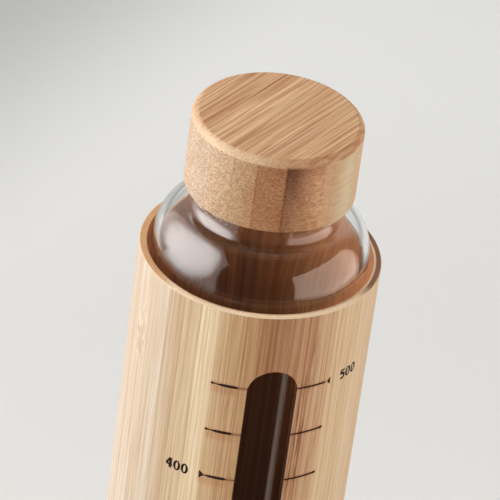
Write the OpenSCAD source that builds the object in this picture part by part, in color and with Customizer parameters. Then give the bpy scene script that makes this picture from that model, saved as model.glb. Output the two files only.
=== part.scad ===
// Glass water bottle in a bamboo sleeve, closed by a bamboo screw cap.
// The glass bottle stands on a silicone boot inside the sleeve and is drawn out upwards.
// A slot in the sleeve's front shows the level, beside a capacity scale engraved in the wood.
// Frame: +Z up, origin at the centre of the foot pad's underside, level slot facing -Y.

/* [Sleeve] */
// Outer diameter of the sleeve
sleeve_od = 73; // [73:0.1:76]
// Wall thickness of the sleeve
sleeve_wall = 2.4; // [2:0.1:2.4]
// Height of the sleeve's rim above the surface it stands on
sleeve_h = 210; // [206:0.5:211]
// Width of the level slot
slot_w = 15; // [10:0.5:16]
// Height of the slot's lower end
slot_low = 42.3; // [41:0.1:60]
// Height of the slot's upper end
slot_high = 190.6; // [180:0.1:195]
// Thickness of the wooden base disc
base_t = 6.9; // [5:0.1:6.9]
// Depth of the step that the base disc is glued into
base_step = 0.6; // [0.3:0.1:0.8]
// Diameter of the foot pad
pad_d = 58; // [40:1:60]
// Thickness of the foot pad
pad_t = 1.4; // [1:0.1:2]
// How far the foot pad stands below the wood
pad_proud = 0.6; // [0.3:0.1:0.8]

/* [Scale] */
// Depth of the engraved marks
mark_depth = 0.2; // [0.1:0.05:0.4]
// Height of an engraved line
line_w = 0.55; // [0.3:0.05:0.8]
// Angle from the slot's middle to a line's outer end
line_end = 29.5; // [20:0.5:34]
// Angle from the slot's middle to the middle of the numbers on the right
number_at_right = 43; // [38:0.5:50]
// Angle from the slot's middle to the middle of the numbers on the left
number_at_left = 40.4; // [38:0.5:50]
// Height of a numeral
number_h = 3.2; // [2:0.1:4]

/* [Glass bottle] */
// Outer diameter of the glass body
glass_od = 65.5; // [60:0.1:65.5]
// Wall thickness of the glass
glass_wall = 2.1; // [1.5:0.1:2.5]
// Thickness of the glass bottom
glass_bottom = 4.5; // [3:0.1:6]
// Height where the shoulder starts
shoulder_z = 212; // [208:0.5:214]
// Height of the shoulder
shoulder_h = 13; // [10:0.5:15]
// Outer diameter of the neck below the cap
neck_d = 42.4; // [42.2:0.1:42.6]
// Radius where the shoulder turns up into the neck
neck_fillet = 3; // [2:0.1:4]
// Height of the bottle's lip
lip_z = 251; // [250.5:0.1:251]

/* [Screw thread] */
// Diameter over the glass thread
thread_d = 42; // [41.6:0.1:42]
// Diameter of the glass under the thread
thread_root_d = 39.6; // [39.2:0.1:39.8]
// Rise of the cap in one turn, on two starts
thread_lead = 8.4; // [7:0.1:9]

/* [Cap] */
// Diameter of the wooden cap
cap_d = 51.3; // [51:0.1:54]
// Height of the wooden cap
cap_h = 24.4; // [24:0.1:28]
// Height of the cap's lower edge above the surface the bottle stands on
cap_z = 232.9; // [232:0.1:233.4]
// Rounding of the cap's top edge
cap_edge = 2; // [0.5:0.1:2.2]
// Outer diameter of the threaded plastic insert
insert_d = 46.6; // [46:0.1:47.4]
// Thickness of the sealing ring
seal_t = 1.7; // [1.2:0.1:1.7]

/* [Hidden] */
$fn = 96;

bamboo = [0.82, 0.64, 0.44];
bamboo_dark = [0.72, 0.52, 0.34];
clear = [0.80, 0.90, 0.90, 0.35];
silicone = [0.86, 0.86, 0.84];
rubber_grey = [0.30, 0.29, 0.28];
plastic_white = [0.90, 0.89, 0.86];

sleeve_r = sleeve_od / 2;
sleeve_ri = sleeve_r - sleeve_wall;
base_top = pad_proud + base_t;

// The boot is a cup of soft silicone: 2 mm under the glass and up its side.
boot_floor = 2;
boot_r = sleeve_ri - 0.1;
boot_top = base_top + 30;

glass_r = glass_od / 2;
glass_ri = glass_r - glass_wall;
glass_z0 = base_top + boot_floor;
floor_z = glass_z0 + glass_bottom;
heel = 5;
neck_r = neck_d / 2;
root_r = thread_root_d / 2;
crest_r = thread_d / 2;
bore_r = root_r - glass_wall;

// Height of a filling: the volume over the bottle's inner area, plus what the rounded heel takes away.
function level(ml) = floor_z + 0.6 + ml * 1000 / (PI * glass_ri * glass_ri);

// Points on an arc about [r, z], from angle a0 to a1, in n steps.
function arc(r, z, rad, a0, a1, n) = [for (i = [0:n]) let (a = a0 + (a1 - a0) * i / n) [r + rad * cos(a), z + rad * sin(a)]];

// The shoulder is a quarter ellipse that a concave fillet joins to the neck.
sh_a = glass_r - neck_r;
function ell(t, off) = let (nx = cos(t) / sh_a, nz = sin(t) / shoulder_h, m = sqrt(nx * nx + nz * nz))
  [neck_r + sh_a * cos(t) + off * nx / m, shoulder_z + shoulder_h * sin(t) + off * nz / m];
// Parameter at which the fillet of radius f leaves the ellipse, by halving the interval.
function meet(lo, hi, f, n) = let (mid = (lo + hi) / 2) n == 0 ? mid :
  (ell(mid, f)[0] > neck_r + f ? meet(mid, hi, f, n - 1) : meet(lo, mid, f, n - 1));
t_end = meet(5, 89, neck_fillet, 24);
fil_c = ell(t_end, neck_fillet);
fil_p = ell(t_end, 0);
fil_a = atan2(fil_p[1] - fil_c[1], fil_p[0] - fil_c[0]);
fil_start = fil_a < 0 ? fil_a + 360 : fil_a;

function shoulder(off) = [for (i = [0:16]) ell(t_end * i / 16, -off)];
function neck_turn(off) = [for (i = [1:7]) let (a = fil_start + (180 - fil_start) * i / 7)
  [fil_c[0] + (neck_fillet + off) * cos(a), fil_c[1] + (neck_fillet + off) * sin(a)]];

// One start of a thread: a ridge of trapezium section swept along a helix, run out at both ends.
// r_base is inside the wall it stands on, r_tip its crest, w_base and w_tip half heights, turn its length in degrees.
module ridge(r_base, r_tip, w_base, w_tip, z0, a0, turn, lead, steps) {
  pts = [for (k = [0:steps]) let (
      a = a0 + turn * k / steps,
      z = z0 + lead * turn / 360 * k / steps,
      ramp = min(1, min(k, steps - k) / 3 * 0.96 + 0.04),
      rt = r_base + (r_tip - r_base) * ramp)
    for (p = [[r_base, -w_base], [rt, -w_tip], [rt, w_tip], [r_base, w_base]])
      [p[0] * cos(a), p[0] * sin(a), z + p[1]]];
  out = r_tip > r_base;
  faces = concat(
    [for (k = [0:steps - 1]) for (j = [0:3]) let (a = k * 4 + j, b = k * 4 + (j + 1) % 4, c = a + 4, d = b + 4)
      each (out ? [[a, b, c], [b, d, c]] : [[a, c, b], [b, c, d]])],
    out ? [[0, 2, 1], [0, 3, 2]] : [[0, 1, 2], [0, 2, 3]],
    let (e = steps * 4) out ? [[e, e + 1, e + 2], [e, e + 2, e + 3]] : [[e, e + 2, e + 1], [e, e + 3, e + 2]]);
  polyhedron(points = pts, faces = faces, convexity = 8);
}

// Numerals are single strokes of even width in a box two thirds as wide as it is high.
function unit(v) = v / max(norm(v), 1e-9);
function left_of(d) = [-d[1], d[0]];
function stroke_side(p, w) = [for (i = [0:len(p) - 1]) let (
    d0 = unit(i == 0 ? p[1] - p[0] : p[i] - p[i - 1]),
    d1 = unit(i == len(p) - 1 ? p[i] - p[i - 1] : p[i + 1] - p[i]),
    m = unit(left_of(d0) + left_of(d1)),
    k = max(0.5, m * left_of(d0)))
  p[i] + m * w / k];
function rev(p) = [for (i = [len(p) - 1:-1:0]) p[i]];
function stroke(p, w) = concat(stroke_side(p, w / 2), rev(stroke_side(p, -w / 2)));
function bow(x, y, rx, ry, a0, a1, n) = [for (i = [0:n]) let (a = a0 + (a1 - a0) * i / n) [x + rx * cos(a), y + ry * sin(a)]];

module numeral(n) {
  w = 0.15;
  if (n == 0) difference() {
    polygon(bow(0, 0.5, 0.32, 0.5, 0, 345, 23));
    polygon(bow(0, 0.5, 0.17, 0.35, 0, 345, 23));
  }
  if (n == 1) polygon(stroke([[-0.2, 0.74], [0.04, 0.925], [0.04, 0]], w));
  if (n == 2) polygon(stroke(concat(bow(0, 0.68, 0.23, 0.245, 165, -35, 8), [[-0.24, 0.075], [0.31, 0.075]]), w));
  if (n == 3) {
    polygon(stroke(bow(-0.01, 0.71, 0.21, 0.215, 150, -90, 9), w));
    polygon(stroke(bow(-0.01, 0.285, 0.24, 0.21, 90, -155, 9), w));
  }
  if (n == 4) {
    polygon(stroke([[0.1, 0.96], [-0.26, 0.29], [0.34, 0.29]], w));
    polygon(stroke([[0.14, 1], [0.14, 0]], w));
  }
  if (n == 5) polygon(stroke(concat([[0.26, 0.925], [-0.15, 0.925], [-0.2, 0.53]], bow(-0.01, 0.325, 0.25, 0.25, 115, -150, 10)), w));
}

// A flat shape laid on the sleeve at angle az from the front, cut mark_depth deep.
module engrave(az, z) {
  rotate([0, 0, az]) translate([0, -(sleeve_r - mark_depth), z]) rotate([90, 0, 0]) linear_extrude(height = 1) children();
}

module number(ml, az) {
  digits = [floor(ml / 100), 0, 0];
  for (i = [0:2]) engrave(az + (i - 1) * 0.84 * number_h / sleeve_r * 180 / PI, level(ml) - number_h / 2)
    scale(number_h) numeral(digits[i]);
}

// One line of the scale: an arc from the slot's edge to angle far, on side s (1 right, -1 left).
module scale_line(z, s, far) {
  edge = asin((slot_w / 2) / sleeve_r) - 0.6;
  rotate([0, 0, -90 + (s > 0 ? edge : -far)]) rotate_extrude(angle = far - edge, $fn = 180)
    translate([sleeve_r - mark_depth, z - line_w / 2]) square([1, line_w]);
}

// A small arrowhead in place of the outer end of a numbered line, pointing at the slot.
module pointer(z, s) {
  engrave(s * (line_end - 0.6), z) polygon([[s * 0.6, -1.35], [s * 0.6, 1.35], [-s * 0.75, 0]]);
}

// Hundreds are numbered: odd ones on the right (1), even ones on the left (-1), and 0 between them.
function numbered_side(ml) = ml % 100 != 0 ? 0 : (ml / 100) % 2 == 1 ? 1 : -1;

module sleeve_tube() {
  color(bamboo) difference() {
    rotate_extrude() polygon(concat(
      [[sleeve_ri + base_step, pad_proud + 0.3], [sleeve_ri + base_step + 0.3, pad_proud], [sleeve_r - 0.7, pad_proud]],
      arc(sleeve_r - 0.7, pad_proud + 0.7, 0.7, -67.5, 0, 3),
      arc(sleeve_r - 0.8, sleeve_h - 0.8, 0.8, 0, 90, 4),
      arc(sleeve_ri + 0.6, sleeve_h - 0.6, 0.6, 90, 180, 4),
      [[sleeve_ri, base_top], [sleeve_ri + base_step, base_top]]));
    // Level slot, through the front wall only, with round ends.
    translate([-slot_w / 2, -sleeve_r - 5, slot_low + slot_w / 2])
      cube([slot_w, 15, slot_high - slot_low - slot_w]);
    for (z = [slot_low + slot_w / 2, slot_high - slot_w / 2])
      translate([0, -sleeve_r - 5, z]) rotate([-90, 0, 0]) cylinder(d = slot_w, h = 15);
    // A line each 50 ml, on both sides of the slot.
    for (ml = [100:50:500]) for (s = [-1, 1]) scale_line(level(ml), s, line_end - (numbered_side(ml) == s ? 1.7 : 0));
    for (ml = [100:100:500]) {
      pointer(level(ml), numbered_side(ml));
      number(ml, numbered_side(ml) > 0 ? number_at_right : -number_at_left);
    }
  }
}

module sleeve_base() {
  color(bamboo_dark) difference() {
    rotate_extrude() polygon([[0, pad_proud], [sleeve_ri + base_step - 0.3, pad_proud],
      [sleeve_ri + base_step, pad_proud + 0.3], [sleeve_ri + base_step, base_top], [0, base_top]]);
    translate([0, 0, -1]) cylinder(d = pad_d, h = pad_t + 1);
  }
}

module foot_pad() {
  color(rubber_grey) rotate_extrude() polygon([[0, 0], [pad_d / 2 - 0.4, 0], [pad_d / 2, 0.4], [pad_d / 2, pad_t], [0, pad_t]]);
}

module bottle_boot() {
  color(silicone) rotate_extrude() polygon(concat(
    [[0, base_top], [boot_r - 1.5, base_top]],
    arc(boot_r - 1.5, base_top + 1.5, 1.5, -60, 0, 3),
    [[boot_r, boot_top - 0.5], [boot_r - 0.4, boot_top], [glass_r, boot_top]],
    arc(glass_r - heel, glass_z0 + heel, heel, 0, -90, 8),
    [[0, glass_z0]]));
}

module glass_bottle() {
  color(clear) {
    rotate_extrude() polygon(concat(
      // outside, from the raised middle of the bottom up to the lip
      [[0, glass_z0 + 1.2], [12, glass_z0 + 1], [19, glass_z0 + 0.5], [23, glass_z0]],
      arc(glass_r - heel, glass_z0 + heel, heel, -90, 0, 8),
      shoulder(0), neck_turn(0),
      [[neck_r, cap_z - 0.6], [root_r + 0.5, cap_z + 1.2], [root_r, cap_z + 1.8]],
      arc(root_r - 1, lip_z - 1, 1, 0, 90, 4),
      // inside, from the lip down to the middle of the bottom
      arc(bore_r + 1, lip_z - 1, 1, 90, 180, 4),
      [[bore_r, cap_z + 1.6], [neck_r - glass_wall, cap_z - 1.6]],
      rev(neck_turn(glass_wall)), rev(shoulder(glass_wall)),
      arc(glass_ri - 6, floor_z + 6, 6, 0, -90, 8),
      [[19, floor_z + 0.4], [0, floor_z + 0.9]]));
    for (a = [0, 180]) ridge(root_r - 0.4, crest_r, 1.45, 0.6, cap_z + 6.2, a, 240, thread_lead, 24);
  }
}

seal_z = lip_z + 0.1;
plate_z = seal_z + seal_t + 0.05;
insert_r = insert_d / 2;
insert_ri = neck_r + 0.35;
insert_z0 = cap_z + 1;
insert_top = plate_z + 1.8;

module cap_seal() {
  color(silicone) rotate_extrude() polygon([[15.5, seal_z], [insert_ri - 0.35, seal_z], [insert_ri - 0.15, seal_z + 0.3],
    [insert_ri - 0.15, seal_z + seal_t], [15.5, seal_z + seal_t]]);
}

module cap_insert() {
  color(plastic_white) {
    difference() {
      union() {
        translate([0, 0, insert_z0]) cylinder(r = insert_r, h = insert_top - insert_z0);
      }
      translate([0, 0, insert_z0 - 1]) cylinder(r = insert_ri, h = plate_z - insert_z0 + 1);
      translate([0, 0, insert_z0 - 0.01]) cylinder(r1 = insert_ri + 0.8, r2 = insert_ri, h = 0.8);
    }
    // Shallow ring inside the sealing ring keeps it centred.
    translate([0, 0, plate_z - 1]) difference() {
      cylinder(r = 15.2, h = 1.2);
      translate([0, 0, -1]) cylinder(r = 13.8, h = 4);
    }
    for (a = [0, 180]) ridge(insert_ri + 0.4, root_r + 0.35, 1.3, 0.4, cap_z + 4.1, a, 210, thread_lead, 21);
  }
}

// the cap's top edge: a chamfer that bulges a little, with a crease of 20 degrees at each end
bulge_r = cap_edge * sqrt(2) / 2 / sin(25);

module cap_shell() {
  color(bamboo) difference() {
    rotate_extrude() polygon(concat(
      [[0, cap_z], [cap_d / 2 - 0.5, cap_z], [cap_d / 2, cap_z + 0.5]],
      arc(cap_d / 2 - bulge_r * cos(20), cap_z + cap_h - bulge_r * cos(20), bulge_r, 20, 70, 4),
      [[0, cap_z + cap_h]]));
    translate([0, 0, cap_z - 1]) cylinder(r = insert_r, h = insert_top - cap_z + 1);
  }
}

sleeve_tube();
sleeve_base();
foot_pad();
bottle_boot();
glass_bottle();
cap_seal();
cap_insert();
cap_shell();
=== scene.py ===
import math
import bpy
import bmesh
from mathutils import Vector, Matrix


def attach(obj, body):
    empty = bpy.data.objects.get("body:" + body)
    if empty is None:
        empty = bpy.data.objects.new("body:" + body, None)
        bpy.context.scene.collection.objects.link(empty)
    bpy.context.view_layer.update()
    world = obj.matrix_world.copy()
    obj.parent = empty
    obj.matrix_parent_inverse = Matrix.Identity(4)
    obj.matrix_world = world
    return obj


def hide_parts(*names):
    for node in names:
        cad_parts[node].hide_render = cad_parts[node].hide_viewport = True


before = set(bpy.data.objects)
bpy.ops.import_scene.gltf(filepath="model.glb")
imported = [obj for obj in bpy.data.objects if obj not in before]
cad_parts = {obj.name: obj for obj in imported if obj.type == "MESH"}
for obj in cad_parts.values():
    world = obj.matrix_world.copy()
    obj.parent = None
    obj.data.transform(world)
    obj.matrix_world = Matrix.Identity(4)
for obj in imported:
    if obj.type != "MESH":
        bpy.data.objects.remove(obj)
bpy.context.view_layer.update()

MM = 0.001
scene = bpy.context.scene
scene.view_settings.view_transform = "Standard"
scene.view_settings.look = "None"
scene.cycles.max_bounces = 16
scene.cycles.transmission_bounces = 14
scene.cycles.transparent_max_bounces = 16
scene.cycles.glossy_bounces = 8
scene.cycles.diffuse_bounces = 6
scene.cycles.blur_glossy = 0.0
scene.cycles.sample_clamp_indirect = 6.0

# ---------------------------------------------------------------- sizes, in mm, as the CAD has them
SR, SWALL, SH = 36.5, 2.4, 210.0
SRI = SR - SWALL
SLOT_W, SLOT_LO, SLOT_HI = 15.0, 42.3, 190.6
PAD_P, BASE_TOP = 0.6, 7.5
GR, GW = 32.75, 2.1
GRI = GR - GW
GZ0 = 9.5
FLOOR_Z = 14.0
SHZ, SHH, NR, FIL = 212.0, 13.0, 21.2, 3.0
LIP = 251.0
ROOT, CREST, LEAD = 19.8, 21.0, 8.4
BORE = ROOT - GW
CAP_R, CAP_Z, CAP_H, CAP_E = 25.65, 232.9, 24.4, 2.0
INS_R, INS_RI, INS_Z0 = 23.3, 21.55, 233.9
SEAL_Z, SEAL_T = 251.1, 1.7
PLATE_Z = SEAL_Z + SEAL_T + 0.05
INS_TOP = PLATE_Z + 1.8
GRAIN = math.radians(43.5)     # direction of the cap's fibres in plan


def level(ml):
    return FLOOR_Z + 0.6 + ml * 1000.0 / (math.pi * GRI * GRI)


# ---------------------------------------------------------------- mesh helpers
def new_obj(name, mesh):
    o = bpy.data.objects.new(name, mesh)
    scene.collection.objects.link(o)
    return o


def arc(r, z, rad, a0, a1, n):
    return [(r + rad * math.cos(math.radians(a0 + (a1 - a0) * i / n)),
             z + rad * math.sin(math.radians(a0 + (a1 - a0) * i / n))) for i in range(n + 1)]


def lathe(name, profile, n=256, z_rings=None):
    """Closed solid of revolution from a closed profile of (r, z) in mm. Points with r = 0 become poles."""
    bm = bmesh.new()
    rings = []
    for r, z in profile:
        if r < 1e-6:
            rings.append([bm.verts.new((0, 0, z * MM))])
        else:
            rings.append([bm.verts.new((r * MM * math.cos(2 * math.pi * k / n), r * MM * math.sin(2 * math.pi * k / n), z * MM))
                          for k in range(n)])
    m = len(rings)
    for i in range(m):
        a, b = rings[i], rings[(i + 1) % m]
        if len(a) == 1 and len(b) == 1:
            continue
        for k in range(n):
            k2 = (k + 1) % n
            if len(a) == 1:
                bm.faces.new((a[0], b[k2], b[k]))
            elif len(b) == 1:
                bm.faces.new((a[k], a[k2], b[0]))
            else:
                bm.faces.new((a[k], a[k2], b[k2], b[k]))
    bmesh.ops.recalc_face_normals(bm, faces=bm.faces)
    mesh = bpy.data.meshes.new(name)
    bm.to_mesh(mesh)
    bm.free()
    return new_obj(name, mesh)


def smooth(o, angle=32):
    o.data.shade_smooth()
    o.data.set_sharp_from_angle(angle=math.radians(angle))
    return o


def boolean(o, cutters, op="DIFFERENCE"):
    for c in cutters:
        m = o.modifiers.new("b", "BOOLEAN")
        m.operation = op
        m.solver = "EXACT"
        m.object = c
        c.hide_viewport = False
    dg = bpy.context.evaluated_depsgraph_get()
    mesh = bpy.data.meshes.new_from_object(o.evaluated_get(dg))
    o.modifiers.clear()
    old = o.data
    o.data = mesh
    bpy.data.meshes.remove(old)
    for c in cutters:
        me = c.data
        bpy.data.objects.remove(c)
        bpy.data.meshes.remove(me)
    bm = bmesh.new()
    bm.from_mesh(o.data)
    bmesh.ops.remove_doubles(bm, verts=bm.verts, dist=1e-7)
    bmesh.ops.dissolve_degenerate(bm, edges=bm.edges, dist=1e-7)
    bm.to_mesh(o.data)
    bm.free()
    return o


def wrap(s_az, z, r):
    """Point at azimuth s_az (radians from the front, towards +X), height z and radius r, mm to metres."""
    return (r * math.sin(s_az) * MM, -r * math.cos(s_az) * MM, z * MM)


def loft(name, loops):
    """Closed solid from loops with equal point counts; the first and last are capped."""
    bm = bmesh.new()
    vs = [[bm.verts.new(p) for p in lp] for lp in loops]
    n = len(vs[0])
    for a, b in zip(vs[:-1], vs[1:]):
        for k in range(n):
            bm.faces.new((a[k], a[(k + 1) % n], b[(k + 1) % n], b[k]))
    bm.faces.new(list(reversed(vs[0])))
    bm.faces.new(vs[-1])
    bmesh.ops.recalc_face_normals(bm, faces=bm.faces)
    mesh = bpy.data.meshes.new(name)
    bm.to_mesh(mesh)
    bm.free()
    return new_obj(name, mesh)


def ridge(name, r_base, r_tip, w_base, w_tip, z0, a0, turn, lead, steps):
    """One start of a thread with a rounded crest, run out at both ends."""
    loops = []
    for k in range(steps + 1):
        a = math.radians(a0 + turn * k / steps)
        z = z0 + lead * turn / 360 * k / steps
        u = min(1.0, min(k, steps - k) / (steps * 0.11))
        ramp = 0.04 + 0.96 * (u * u * (3 - 2 * u))
        rt = r_base + (r_tip - r_base) * ramp
        rm = r_base + (r_tip - r_base) * ramp * 0.86
        prof = [(r_base, -w_base), (rm, -w_tip - (w_base - w_tip) * 0.22), (rt, -w_tip * 0.55),
                (rt, w_tip * 0.55), (rm, w_tip + (w_base - w_tip) * 0.22), (r_base, w_base)]
        loops.append([(p[0] * math.cos(a) * MM, p[0] * math.sin(a) * MM, (z + p[1]) * MM) for p in prof])
    return loft(name, loops)


# ---------------------------------------------------------------- material helpers
class Mat:
    def __init__(self, name):
        self.m = bpy.data.materials.new(name)
        self.m.use_nodes = True
        self.t = self.m.node_tree
        self.t.nodes.clear()
        self.out = self.t.nodes.new("ShaderNodeOutputMaterial")

    def n(self, kind, **kw):
        node = self.t.nodes.new(kind)
        for k, v in kw.items():
            setattr(node, k, v)
        return node

    def link(self, a, b):
        self.t.links.new(a, b)

    def put(self, node, sock, v):
        s = node.inputs[sock]
        if hasattr(v, "is_output") or isinstance(v, bpy.types.NodeSocket):
            self.link(v, s)
        else:
            s.default_value = v

    def math(self, op, a, b=None, c=None, clamp=False):
        node = self.n("ShaderNodeMath", operation=op, use_clamp=clamp)
        self.put(node, 0, a)
        if b is not None:
            self.put(node, 1, b)
        if c is not None:
            self.put(node, 2, c)
        return node.outputs[0]

    def map_range(self, v, a, b, c=0.0, d=1.0, smooth=True):
        node = self.n("ShaderNodeMapRange", interpolation_type="SMOOTHSTEP" if smooth else "LINEAR", clamp=True)
        self.put(node, "Value", v)
        for k, x in (("From Min", a), ("From Max", b), ("To Min", c), ("To Max", d)):
            node.inputs[k].default_value = x
        return node.outputs[0]

    def combine(self, x, y, z):
        node = self.n("ShaderNodeCombineXYZ")
        self.put(node, 0, x), self.put(node, 1, y), self.put(node, 2, z)
        return node.outputs[0]

    def noise(self, vec, scale=1.0, detail=3.0, rough=0.5, distort=0.0):
        node = self.n("ShaderNodeTexNoise")
        self.put(node, "Vector", vec)
        node.inputs["Scale"].default_value = scale
        node.inputs["Detail"].default_value = detail
        node.inputs["Roughness"].default_value = rough
        node.inputs["Distortion"].default_value = distort
        return node.outputs["Fac"]

    def ramp(self, v, stops, interp="LINEAR"):
        node = self.n("ShaderNodeValToRGB")
        node.color_ramp.interpolation = interp
        el = node.color_ramp.elements
        while len(el) > 1:
            el.remove(el[-1])
        el[0].position, el[0].color = stops[0][0], (*stops[0][1], 1)
        for p, c in stops[1:]:
            e = el.new(p)
            e.color = (*c, 1)
        self.put(node, 0, v)
        return node.outputs[0]

    def lines(self, v, lo, hi, items):
        """Ramp that peaks at each item (centre, half width, strength, extra, extra); the extras hold steady across the peak."""
        stops, last = [], 0.0
        for c_, w, st, e1, e2 in sorted(items):
            for d, k in ((-w, 0.0), (0.0, st), (w, 0.0)):
                p = max(last + 1e-4, (c_ + d - lo) / (hi - lo))
                stops.append((p, (k, e1, e2)))
                last = p
        node = self.n("ShaderNodeSeparateColor")
        self.link(self.ramp(self.map_range(v, lo, hi, smooth=False), stops), node.inputs[0])
        return node.outputs

    def mix(self, f, a, b, blend="MIX"):
        node = self.n("ShaderNodeMix", data_type="RGBA", blend_type=blend, clamp_factor=True)
        self.put(node, 0, f)
        for i, v in ((6, a), (7, b)):
            if isinstance(v, tuple):
                node.inputs[i].default_value = (*v, 1)
            else:
                self.link(v, node.inputs[i])
        return node.outputs[2]

    def grey(self, v):
        return self.combine(v, v, v)

    def pos(self):
        tc = self.n("ShaderNodeTexCoord")
        sc = self.n("ShaderNodeVectorMath", operation="SCALE")
        self.link(tc.outputs["Object"], sc.inputs[0])
        sc.inputs["Scale"].default_value = 1000.0
        sep = self.n("ShaderNodeSeparateXYZ")
        self.link(sc.outputs[0], sep.inputs[0])
        return sep.outputs[0], sep.outputs[1], sep.outputs[2]

    def bsdf(self, **kw):
        b = self.n("ShaderNodeBsdfPrincipled")
        for k, v in kw.items():
            self.put(b, k.replace("_", " "), v if not (isinstance(v, tuple) and len(v) == 3 and k in ("Base_Color", "Sheen_Tint", "Specular_Tint")) else (*v, 1))
        self.link(b.outputs[0], self.out.inputs[0])
        return b

    def bump(self, h, dist, strength=1.0):
        node = self.n("ShaderNodeBump")
        self.put(node, "Height", h)
        node.inputs["Distance"].default_value = dist
        node.inputs["Strength"].default_value = strength
        return node.outputs[0]


def srgb(r, g, b):
    return tuple(((c / 255 + 0.055) / 1.055) ** 2.4 if c / 255 > 0.04045 else c / 255 / 12.92 for c in (r, g, b))


# ---------------------------------------------------------------- bamboo of the sleeve: fibres run up the tube
# glued strips round the tube: start and end azimuth (0 at the slot, + to its right), tone at each side
STRIPS = [
    (-180, -165, (222, 190, 150), (218, 186, 146)), (-165, -150, (229, 201, 164), (224, 195, 156)), (-150, -133, (214, 180, 139), (219, 187, 147)),
    (-133, -118, (225, 196, 157), (228, 200, 162)), (-118, -101, (218, 187, 152), (222, 194, 160)), (-101, -90, (221, 201, 177), (226, 207, 186)),
    (-90, -83, (216, 195, 171), (219, 199, 175)), (-83, -72, (225, 208, 187), (222, 203, 180)), (-72, -61.5, (217, 195, 168), (222, 202, 177)),
    (-61.5, -57, (230, 214, 193), (228, 209, 186)), (-57, -49.5, (218, 193, 162), (217, 191, 158)),
    (-49.5, -38.4, (222, 195, 159), (238, 213, 175)), (-38.4, -28.9, (252, 229, 190), (250, 224, 183)), (-28.9, -17.4, (232, 199, 156), (219, 180, 136)),
    (-17.4, -11, (213, 171, 126), (207, 162, 117)), (-11, -2, (199, 151, 109), (183, 135, 96)), (-2, 6, (184, 136, 99), (190, 142, 105)),
    (6, 13, (196, 150, 112), (203, 158, 119)), (13, 20, (201, 157, 118), (204, 162, 124)), (20, 28.8, (208, 169, 131), (213, 176, 137)),
    (28.8, 45, (220, 191, 153), (219, 189, 151)), (45, 61, (215, 185, 149), (217, 187, 152)), (61, 78, (210, 179, 143), (214, 185, 149)),
    (78, 94, (226, 197, 160), (223, 193, 155)), (94, 110, (214, 180, 139), (219, 186, 146)), (110, 128, (226, 196, 157), (222, 192, 152)),
    (128, 144, (218, 185, 145), (223, 191, 152)), (144, 162, (230, 202, 165), (226, 197, 159)), (162, 180, (217, 184, 144), (222, 190, 150))]
# single fibres and glue lines that show: azimuth, half width in degrees, strength; each multiplies the colour by the
# same dark brown
HAIRS = [(-163.5, 0.3, 0.4), (-150.2, 0.35, 0.5), (-141, 0.25, 0.3), (-133.2, 0.3, 0.4), (-118, 0.35, 0.5), (-108.5, 0.25, 0.35), (-101, 0.3, 0.5), (-92, 0.3, 0.25),
         (-83.5, 0.3, 0.3), (-61.6, 0.28, 0.35), (-50.3, 0.26, 0.6), (-47.0, 0.2, 0.3), (-42.5, 0.2, 0.3), (-38.5, 0.36, 0.95), (-36.4, 0.24, 0.5), (-32.5, 0.2, 0.3),
         (-28.9, 0.24, 0.5), (-22.6, 0.2, 0.35), (-17.5, 0.34, 0.95), (-8.3, 0.3, 0.5), (-5.0, 0.5, 0.7), (-2.3, 0.36, 0.6), (0.8, 0.3, 0.5), (4.4, 0.35, 0.55),
         (9.0, 0.3, 0.5), (14.2, 0.6, 0.5), (17.4, 0.4, 0.8), (20.2, 0.25, 0.4), (26.2, 0.34, 0.8), (28.7, 0.22, 0.4), (38.0, 0.26, 0.35), (45.1, 0.22, 0.3),
         (52.3, 0.3, 0.3), (61.0, 0.3, 0.4), (69, 0.25, 0.3), (78.3, 0.35, 0.5), (94, 0.3, 0.4), (102, 0.25, 0.3), (110.2, 0.35, 0.5), (128.1, 0.3, 0.45),
         (136, 0.25, 0.3), (144.3, 0.35, 0.5), (162, 0.3, 0.45), (171, 0.25, 0.3)]


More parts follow.
